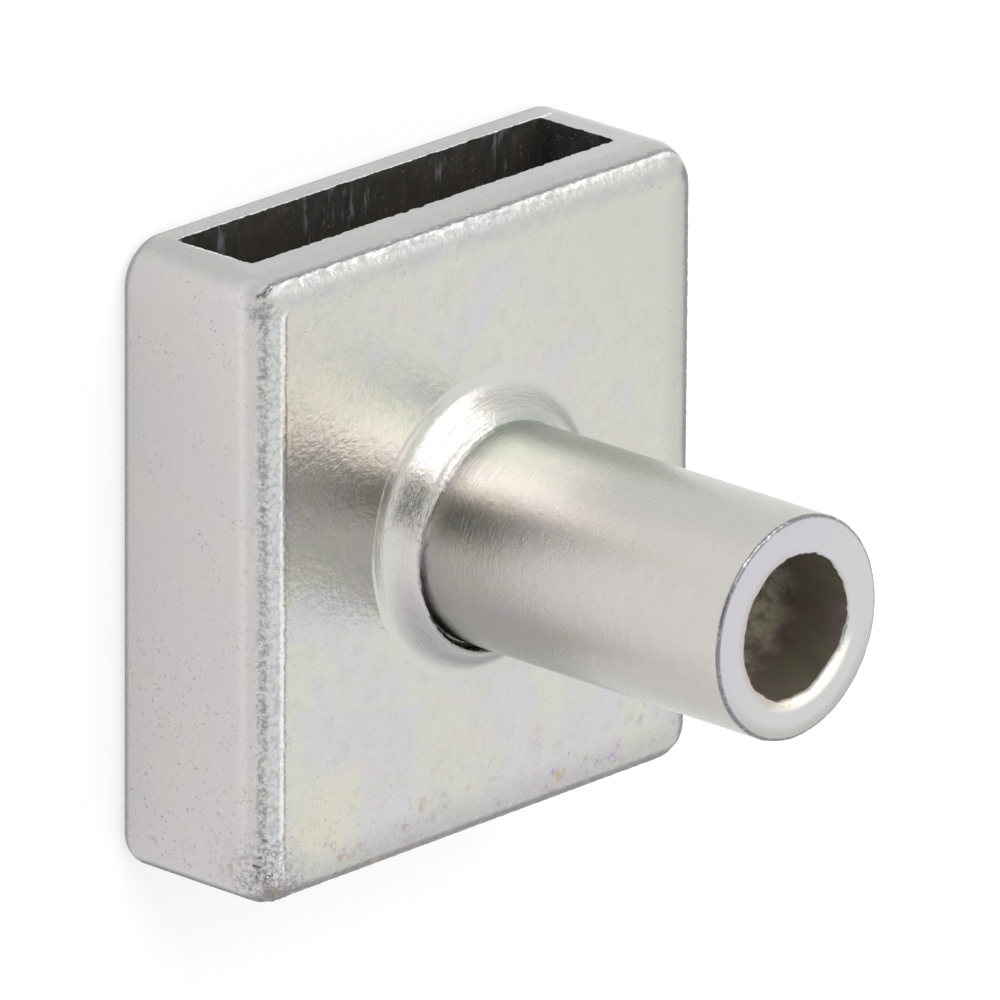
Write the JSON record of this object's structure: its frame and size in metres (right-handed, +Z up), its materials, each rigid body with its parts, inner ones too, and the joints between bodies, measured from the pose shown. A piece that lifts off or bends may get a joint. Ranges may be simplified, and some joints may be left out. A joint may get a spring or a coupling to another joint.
{
  "type": "slotted stem fitting",
  "caption": "Zinc-plated steel fitting: a flat square head with a through slot for flat bar, and a hollow round stem with a blind bore welded square to its front face",
  "frame": {"origin": "centre of the head's flat back face", "axes": "+Z runs up the stem, away from the back face it lies on; the slot runs along Y; X is across the head"},
  "size_m": [0.0384, 0.04, 0.0375],
  "materials": {
    "head_zinc": "zinc-plated and passivated, satin with fine pitting and beaded edges",
    "stem_zinc": "zinc-plated and passivated over fine turning marks",
    "bead_zinc": "zinc-plated over a smooth ring weld"
  },
  "bodies": {
    "root": {"slotted_head": "head_zinc", "stem_tube": "stem_zinc", "weld_bead": "bead_zinc"}
  },
  "joints": []
}
